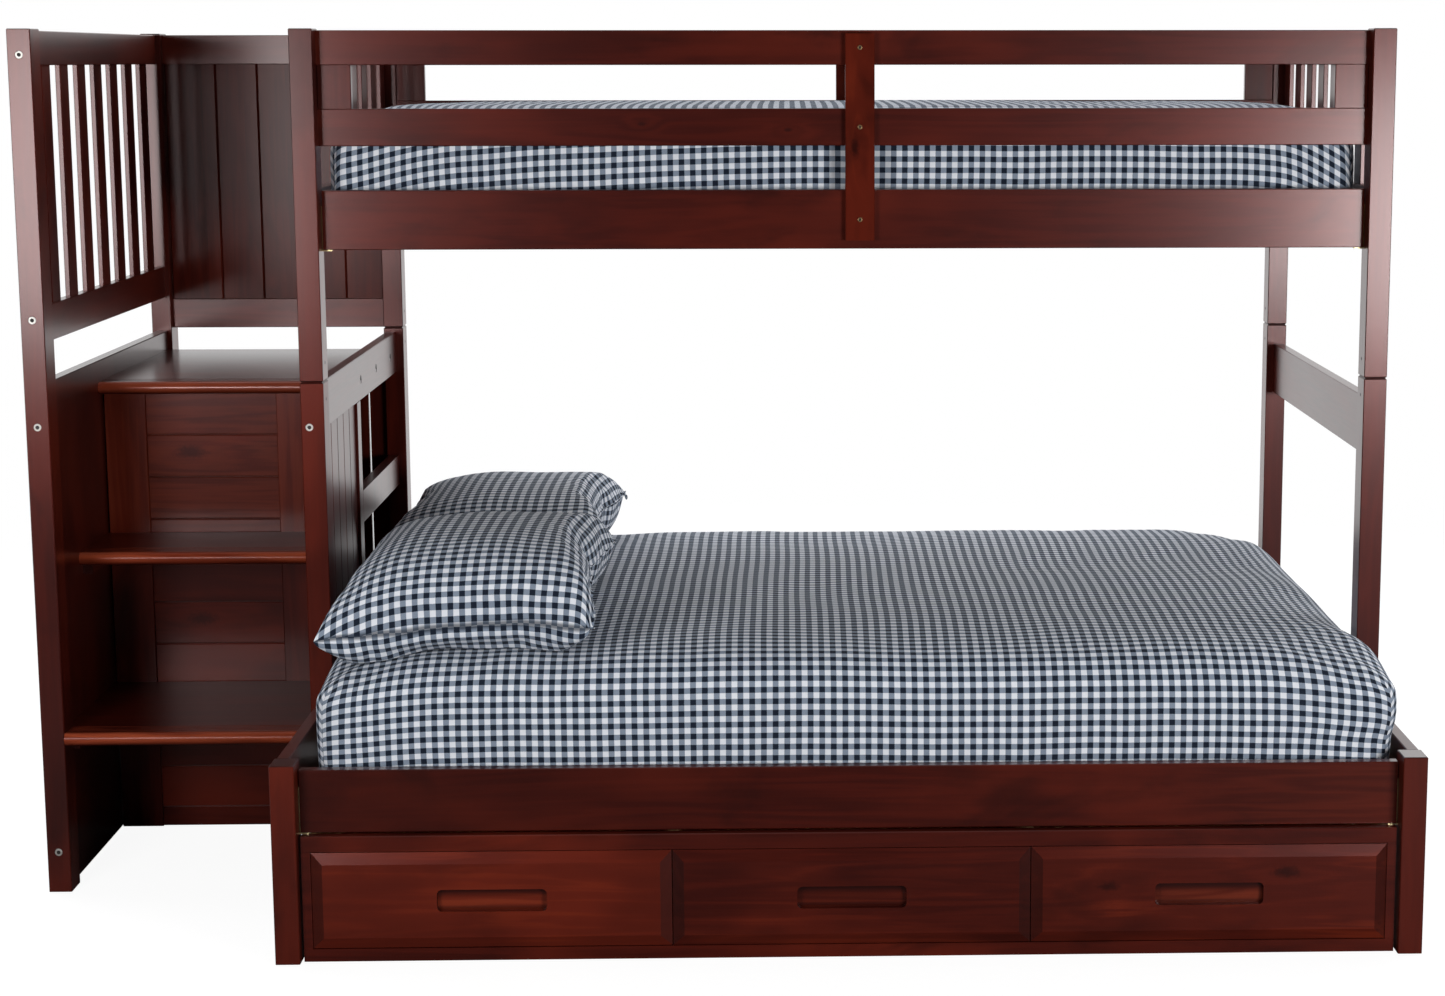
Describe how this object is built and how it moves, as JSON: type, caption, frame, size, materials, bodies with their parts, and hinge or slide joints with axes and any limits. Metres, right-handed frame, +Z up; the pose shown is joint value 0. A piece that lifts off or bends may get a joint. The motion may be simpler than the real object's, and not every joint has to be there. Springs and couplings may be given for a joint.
{
  "type": "twin-over-full bunk bed with staircase",
  "caption": "Bunk bed in dark stained pine: a single over a wider lower bed, a side staircase with guard and panelled back, a drawer chest under the bed, checked bedding and pillows.",
  "frame": {"origin": "on the floor, at the centre of the outer box", "axes": "+X along the bed, from the staircase towards the far end; +Y from the front to the back; +Z up"},
  "size_m": [2.53, 1.47, 1.622],
  "materials": {
    "stained_pine": "satin lacquer over a dark cherry stain",
    "plain_pine": "planed, unstained",
    "gingham_cloth": "woven cotton check in navy, white and grey-blue",
    "steel": "dark zinc plated",
    "yellow_zinc": "yellow zinc plated"
  },
  "bodies": {
    "bed": {"centre_braces": "stained_pine", "chest_carcass": "plain_pine", "chest_face_frame": "stained_pine", "connector_bolts": "steel", "cross_rails": "stained_pine", "drawer_runners": "plain_pine", "end_guard_rails": "stained_pine", "end_guard_slats": "stained_pine", "end_panel_boards": "stained_pine", "end_panel_frame": "stained_pine", "entry_upright": "stained_pine", "extension_rails": "stained_pine", "guard_end_boards": "stained_pine", "guard_mid_rails": "stained_pine", "guard_top_rails": "stained_pine", "lower_bed_slats": "plain_pine", "lower_centre_beam": "plain_pine", "lower_end_rails": "stained_pine", "lower_mattress": "gingham_cloth", "lower_post_front_left": "stained_pine", "lower_post_front_right": "stained_pine", "lower_post_rear_left": "stained_pine", "lower_post_rear_right": "stained_pine", "lower_side_rails": "stained_pine", "pillow_front": "gingham_cloth", "pillow_rear": "gingham_cloth", "post_pins": "steel", "rail_hook_plates": "yellow_zinc", "riser_boards": "stained_pine", "riser_stiles": "stained_pine", "short_posts": "stained_pine", "slat_cleats": "plain_pine", "stair_back_boards": "stained_pine", "stair_back_rails": "stained_pine", "stair_guard_rails": "stained_pine", "stair_guard_slats": "stained_pine", "stair_landing": "stained_pine", "stair_lower_back": "stained_pine", "stair_post_front": "stained_pine", "stair_post_rear": "stained_pine", "stair_side_panel": "stained_pine", "stair_treads": "stained_pine", "tread_cleats": "stained_pine", "upper_bed_slats": "plain_pine", "upper_end_rails": "stained_pine", "upper_mattress": "gingham_cloth", "upper_post_front_left": "stained_pine", "upper_post_front_right": "stained_pine", "upper_post_rear_left": "stained_pine", "upper_post_rear_right": "stained_pine", "upper_side_rails": "stained_pine"},
    "drawer_left": {"drawer_left_front": "stained_pine", "drawer_left_box": "plain_pine"},
    "drawer_middle": {"drawer_middle_front": "stained_pine", "drawer_middle_box": "plain_pine"},
    "drawer_right": {"drawer_right_front": "stained_pine", "drawer_right_box": "plain_pine"}
  },
  "joints": [
    {"name": "drawer_left_slide", "type": "slide", "parent": "bed", "child": "drawer_left", "axis": [0, -1, 0], "range_m": [0, 0.4]},
    {"name": "drawer_middle_slide", "type": "slide", "parent": "bed", "child": "drawer_middle", "axis": [0, -1, 0], "range_m": [0, 0.4]},
    {"name": "drawer_right_slide", "type": "slide", "parent": "bed", "child": "drawer_right", "axis": [0, -1, 0], "range_m": [0, 0.4]}
  ]
}
